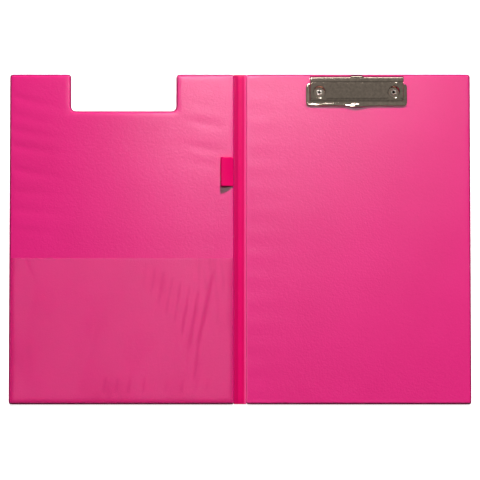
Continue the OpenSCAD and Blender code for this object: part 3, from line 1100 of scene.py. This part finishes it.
def panel_path(us, ys):
    """Points along the edge of the panel's grid, where the corners are sharp.

    A ring has two more, so the faces between run a little askew and end short at the right.
    """
    path = [(us[0], y) for y in ys]
    path += [(u, ys[-1]) for u in us[1:]]
    return path + [(us[-1], y) for y in reversed(ys[:-1])]


def dimple_height(u, v):
    """The shallow dimple at the right, and the crown round it."""
    d = math.hypot(u - DIMPLE[0], v - DIMPLE[1])
    return 0.1 * math.exp(-(((d - 2.2) / 0.6) ** 2)) - 0.34 * math.exp(-((d / 1.15) ** 2))


def panel_slope(v):
    """How far the panel has come down at v: evenly, and faster along its front edge."""
    v = max(v, -PANEL_FRONT)
    level = PANEL_REAR + LEVEL_REAR
    even = PANEL_FALL * min(0.0, v + PANEL_REAR + LEVEL_REAR) / (PANEL_FRONT - level)
    return even - PANEL_NOSE * max(0.0, (-v - NOSE_FROM) / (PANEL_FRONT - NOSE_FROM)) ** 2


def panel_dent(u, v):
    """The panel's slope towards the front, its groove, and slow waves left by pressing."""
    groove = -GROOVE_DEPTH * math.exp(-(((v - GROOVE_V) / GROOVE_W) ** 2))
    return panel_slope(v) + groove + 0.05 * noise.noise(Vector((u * 0.045, v * 0.09, 11.0)))


def lip_strength(u):
    """How much the front lip is rolled: most on the left, and a little in the middle."""
    left = math.exp(-(((u + 30.0) / 13.0) ** 4))
    middle = math.exp(-(((u + 2.0) / 3.5) ** 2))
    return 0.35 + 0.65 * max(left, middle)


def tab_point(u, v, z, share):
    """Moves a point of the front rim out and up where the finger tab is."""
    bell = math.exp(-((u / 10.5) ** 4)) * 0.55 + 0.45 * math.exp(-((u / 7.0) ** 2))
    return (u, v - TAB_REACH * bell * share, z + TAB_LIFT * bell * share)


def panel_point(plate, u, v):
    return plate.add(u, v, PANEL_TOP + dimple_height(u, v) + panel_dent(u, v))


def ring_level(k, u, v, share, side_z, front_z):
    """Height of ring k at a point: its walls come down with the panel."""
    if WALL_RINGS <= k < LIP_RINGS:
        front_z = RIM_TOP + (front_z - RIM_TOP) * lip_strength(u)
    if k <= WALL_RINGS:
        wall = (PANEL_TOP + panel_slope(v) - RIM_TOP) / (PANEL_TOP - RIM_TOP)
        side_z = RIM_TOP + (side_z - RIM_TOP) * wall
    level = side_z + (front_z - side_z) * share
    if k < DENTED_RINGS:
        level += dimple_height(u, v) + panel_dent(u, v) - panel_slope(v)
    return level


def jaw_walls(plate, us, ys):
    """The walls round the panel, the rims with their round rear ends, and the finger tab."""
    inner = panel_path(us, ys)
    last = [panel_point(plate, u, v) for u, v in inner]
    ends = {i for i, (u, v) in enumerate(inner) if v > -RIM_REAR + SLACK}
    behind_rims = ends | {i - 1 for i in ends}
    for k, (half, side_z, front, front_z, r) in enumerate(JAW_RINGS):
        row = []
        for u, v, share in jaw_path(half, front, r, us, ys):
            level = ring_level(k, u, v, share, side_z, front_z)
            if k >= WALL_RINGS and abs(u) > WALL_U and v > -RIM_REAR - RIM_CORNER:
                t = min(1.0, (v + RIM_REAR + RIM_CORNER) / RIM_CORNER)
                u = math.copysign(WALL_U + (abs(u) - WALL_U) * math.sqrt(1 - t * t), u)
            if v < -PANEL_FRONT - TAB_FROM and abs(u) < TAB_WIDEST:
                grown = max(0.0, min(1.0, (k - TAB_RING) / TAB_RINGS))
                u, v, level = tab_point(u, v, level, grown)
            row.append(plate.add(u, v, level))
        plate.strip(last, row, behind_rims if k >= WALL_RINGS else ())
        last = row


def jaw_barrel(plate, us):
    """The rear edge, rolled round the pin, and the strip that leads up to it."""
    side = [(half, PANEL_TOP - z) for half, z, *_ in JAW_RINGS[:SHOULDER_RINGS]]
    side.append((side[-1][0], BARREL_R - BARREL_END_R))
    columns = [(-u, drop) for u, drop in reversed(side)] + [(u, 0.0) for u in us] + side
    rows = []
    for v, dz in LEAD_ROWS:
        row = []
        for u, drop in columns:
            z = PIN_Z + BARREL_R + dz + (dimple_height(u, v) if drop < 0.3 else 0.0)
            bend = panel_dent(u, v) * (1 - smooth_step((v + PANEL_REAR) / LEAD_BEND))
            row.append(plate.add(u, v, z - drop + bend))
        rows.append(row)
    for k in range(BARREL_ROWS):
        a = math.radians(90 - BARREL_TURN * k)
        row = []
        for u, drop in columns:
            out = BULGE_SHIFT * smooth_step((BULGE_HALF - abs(u)) / BULGE_EDGE)
            out *= smooth_step(k / BULGE_ROWS)
            r = BARREL_R - drop
            row.append(plate.add(u, r * math.cos(a) + out, PIN_Z + r * math.sin(a)))
        rows.append(row)
    plate.join(rows)


def make_jaw():
    """The sprung jaw: one stamped plate, and its ears on the pin."""
    us = even_steps(-PANEL_HALF, PANEL_HALF, JAW_STEP)
    ys = REAR_VS + even_steps(-7.7, -PANEL_FRONT, JAW_STEP)
    plate = Plate()
    plate.join([[panel_point(plate, u, y) for u in us] for y in ys])
    jaw_walls(plate, us, ys)
    jaw_barrel(plate, us)
    piece = add_piece("clip_jaw_plate", plate.points, plate.faces, NICKEL)
    clean(piece, MERGE)
    for sign in (-1, 1):
        centre = (CLIP_X + sign * RIVET_PITCH / 2, RIVET_Y)
        punch(piece, centre, JAW_HOLE_REACH, WINDOW_RINGS)
    orient(piece, True)
    thicken(piece, STEEL_T)
    add_ears(piece)
    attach(piece, "clip_jaw")
    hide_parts("clip_jaw")


def add_ears(piece):
    """The jaw's two ears, which turn on the pin, as rings with rounded edges."""
    with editing(piece) as bm:
        for sign in (-1, 1):
            rings = []
            for k in range(EAR_TURNS):
                a = 2 * math.pi * k / EAR_TURNS
                ring = []
                for r, depth in EAR_SECTION:
                    x = CLIP_X + sign * (EAR_X - depth)
                    y = PIN_Y + r * math.cos(a)
                    z = PIN_Z + r * math.sin(a)
                    ring.append(bm.verts.new((x * MM, y * MM, z * MM)))
                rings.append(ring)
            fresh = []
            for a, b in zip(rings, rings[1:] + rings[:1]):
                for i in range(len(EAR_SECTION)):
                    j = (i + 1) % len(EAR_SECTION)
                    fresh.append(bm.faces.new((a[i], a[j], b[j], b[i])))
            bmesh.ops.recalc_face_normals(bm, faces=fresh)


# ---- Spring ----

COIL_R = 1.45
WIRE_R = 0.35
WIRE_SIDES = 12
TURNS = 7
PITCH = 1.0
TURN_STEPS = 24
COIL_START = 200.0    # degrees round the pin
COIL_END = -24.0
LONG_LEG = 12.0
LEG_LIES = [(-0.4, 0.0, 0.05), (-0.36, 2.0, 0.08), (-0.3, 4.0, 0.15)]   # from its end
LEG_RISES = (-0.15, 7.5, 0.72)
SHORT_LEG = [(0.3, 2.5), (0.5, 3.4)]   # along the pin, and distance from its axis


def spring_route():
    """The wire's middle line about the pin, and where its coil starts and ends along it."""
    start = -TURNS / 2 * PITCH
    lying = PLATE_LOW[2] + STEEL_T + WIRE_R
    route = [(start + x, -LONG_LEG + y, lying + z - PIN_Z) for x, y, z in LEG_LIES]
    x, y, share = LEG_RISES
    route.append((start + x, -LONG_LEG + y, (lying - PIN_Z) * share))
    total = TURNS + (COIL_START - COIL_END) / 360 - 1
    for i in range(int(total * TURN_STEPS) + 1):
        t = i / TURN_STEPS
        a = math.radians(COIL_START - 360 * t)
        route.append(((t - TURNS / 2) * PITCH, COIL_R * math.cos(a), COIL_R * math.sin(a)))
    end = route[-1][0]
    tail = math.radians(COIL_END)
    route += [(end + x, r * math.cos(tail), r * math.sin(tail)) for x, r in SHORT_LEG]
    return [np.array(p) + np.array((CLIP_X, PIN_Y, PIN_Z)) for p in route], (start, end)


def make_spring():
    """A torsion spring round the pin: it winds up between the base plate and the jaw."""
    route, coil = spring_route()
    points = []
    for i, p in enumerate(route):
        d = unit(route[min(i + 1, len(route) - 1)] - route[max(i - 1, 0)])
        n = unit(np.array((1.0, 0, 0)) - d * d[0])
        b = np.cross(d, n)
        for k in range(WIRE_SIDES):
            a = 2 * math.pi * k / WIRE_SIDES
            points.append(p + WIRE_R * (n * math.cos(a) + b * math.sin(a)))
    faces = []
    for a in range(0, len(points) - WIRE_SIDES, WIRE_SIDES):
        for k in range(WIRE_SIDES):
            j = (k + 1) % WIRE_SIDES
            faces.append((a + k, a + j, a + WIRE_SIDES + j, a + WIRE_SIDES + k))
    faces.append(tuple(range(WIRE_SIDES - 1, -1, -1)))
    faces.append(tuple(range(len(points) - WIRE_SIDES, len(points))))
    piece = add_piece("torsion_spring_wire", points, faces, WIRE)
    clean(piece)
    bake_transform(piece)
    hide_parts("torsion_spring")


# ---- CAD nodes that stay ----

ROUND_FROM = math.radians(40)   # edges sharper than this are rounded


def dress(node, material, bevel=0.0):
    """Gives a CAD node its material, and rounds its sharp edges."""
    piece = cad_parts[node]
    piece.data.materials.clear()
    piece.data.materials.append(material)
    if bevel:
        round_off = piece.modifiers.new("rounding", "BEVEL")
        round_off.width = bevel * MM
        round_off.segments = 2
        round_off.limit_method = "ANGLE"
        round_off.angle_limit = ROUND_FROM
        round_off.harden_normals = True


def dress_nodes():
    """The looks of the pieces that keep their CAD shape."""
    dress("back_board", GREYBOARD)
    dress("front_board", GREYBOARD)
    dress("clip_base_plate", NICKEL, bevel=0.15)
    dress("hinge_pin", BRIGHT, bevel=0.2)
    dress("clip_rivets", RIVET, bevel=0.12)
    dress("rivet_washers", NICKEL, bevel=0.1)


# ---- Floor, lights and camera, in metres ----

FLOOR_SIZE = 60.0
FLOOR_Z = -0.0002
FLOOR_GLOW = 0.85
BACKDROP_SIDES = 64
BACKDROP_R = 18.0
BACKDROP_LOW = -1.0
BACKDROP_HIGH = 14.0
BACKDROP_GLOW = 0.95
KEY_TURN = math.radians(6)
KEY_RISE = math.radians(32)
SKY_COLOUR = (1.0, 0.99, 0.97, 1)
SKY_FADE = {"From Min": 0.3, "From Max": 0.8, "To Min": 0.035, "To Max": 0.168}
CAMERA_TILT = math.radians(1.8)
CAMERA_REACH = 1.5
CAMERA_CLIP = 0.01
FRAME_WIDTH = 0.4933
LOOK_AT = (0, -0.0012, 0.0027)
SENSOR = 36.0   # millimetres


def pale_object(name, points, faces, glow):
    """A pale, matt, glowing surface on the stage, which reflections don't show."""
    mesh = bpy.data.meshes.new(name)
    mesh.from_pydata(points, [], faces)
    s = Shader("pale_" + name)
    s.bsdf.inputs["Emission Color"].default_value = (1, 1, 1, 1)
    s.bsdf.inputs["Emission Strength"].default_value = glow
    mottle = s.noise(0.02, 2.0, 0.5)
    base = s.mottled(mottle, (0.86, 0.86, 0.86, 1), (0.9, 0.9, 0.9, 1))
    mesh.materials.append(s.finish(base_color=base, roughness=0.9))
    made = add_object(name, mesh)
    made.visible_glossy = False
    return made


def make_floor():
    """The table under the clipboard, far wider than any view."""
    size = FLOOR_SIZE
    corners = [(-size, -size, 0), (size, -size, 0), (size, size, 0), (-size, size, 0)]
    floor = pale_object("floor", corners, [(0, 1, 2, 3)], FLOOR_GLOW)
    floor.location.z = FLOOR_Z


def make_backdrop():
    """A pale wall round the scene, which only the camera sees: low views end in it.

    It stands nearer than the distance at which a camera stops seeing.
    """
    points, faces = [], []
    for k in range(BACKDROP_SIDES):
        a = 2 * math.pi * k / BACKDROP_SIDES
        x, y = BACKDROP_R * math.cos(a), BACKDROP_R * math.sin(a)
        points += [(x, y, BACKDROP_LOW), (x, y, BACKDROP_HIGH)]
        b, c = 2 * k, (2 * k + 2) % (2 * BACKDROP_SIDES)
        faces.append((b, b + 1, c + 1, c))
    backdrop = pale_object("backdrop", points, faces, BACKDROP_GLOW)
    backdrop.visible_diffuse = False
    backdrop.visible_transmission = False
    backdrop.visible_shadow = False


def area_light(name, place, target, width, height, power):
    """A rectangular light at a place, facing its target."""
    data = bpy.data.lights.new(name, "AREA")
    data.shape = "RECTANGLE"
    data.size = width
    data.size_y = height
    data.energy = power
    light = add_object(name, data)
    light.location = place
    light.rotation_euler = (Vector(target) - Vector(place)).to_track_quat("-Z", "Y").to_euler()
    return light


def make_sky():
    """A world that is darker near the horizon."""
    world = bpy.data.worlds.new("studio")
    bpy.context.scene.world = world
    world.use_nodes = True
    tree = world.node_tree
    sky = tree.nodes["Background"]
    sky.inputs["Color"].default_value = SKY_COLOUR
    coords = tree.nodes.new("ShaderNodeTexCoord")
    split = tree.nodes.new("ShaderNodeSeparateXYZ")
    height = tree.nodes.new("ShaderNodeMapRange")
    for socket, value in SKY_FADE.items():
        height.inputs[socket].default_value = value
    tree.links.new(coords.outputs["Generated"], split.inputs["Vector"])
    tree.links.new(split.outputs["Z"], height.inputs["Value"])
    tree.links.new(height.outputs["Result"], sky.inputs["Strength"])


def make_lights():
    """The key gives light and shadows; glint and gloss are seen only in reflections."""
    make_sky()
    aim = Vector((
        math.cos(KEY_RISE) * math.sin(KEY_TURN),
        math.cos(KEY_RISE) * math.cos(KEY_TURN),
        math.sin(KEY_RISE),
    ))
    middle = (0, 0, 0)
    key = area_light("key", aim * 4.5, middle, width=0.25, height=0.25, power=356)
    key.visible_glossy = False
    glint = area_light("glint", aim * 2.0, middle, width=0.7, height=0.25, power=3.2)
    glint.visible_diffuse = False
    place, target = (-0.03, 0.66, 1.5), (0.0, 0.1, 0)
    gloss = area_light("gloss", place, target, width=0.24, height=0.34, power=9.4)
    gloss.visible_diffuse = False


def make_camera():
    """Nearly straight above, leaning a little towards the near edge."""
    data = bpy.data.cameras.new("camera")
    camera = add_object("camera", data)
    data.sensor_width = SENSOR
    data.lens = SENSOR * CAMERA_REACH / FRAME_WIDTH
    data.clip_start = CAMERA_CLIP
    x, y, z = LOOK_AT
    back, up = CAMERA_REACH * math.sin(CAMERA_TILT), CAMERA_REACH * math.cos(CAMERA_TILT)
    camera.location = (x, y - back, z + up)
    camera.rotation_euler = (CAMERA_TILT, 0, 0)
    bpy.context.scene.camera = camera
    bpy.context.scene.view_settings.view_transform = "Standard"


make_camera()
make_lights()
make_floor()
make_backdrop()
make_covers()
make_spine()
make_pocket()
make_pen_loop()
make_jaw()
make_spring()
dress_nodes()
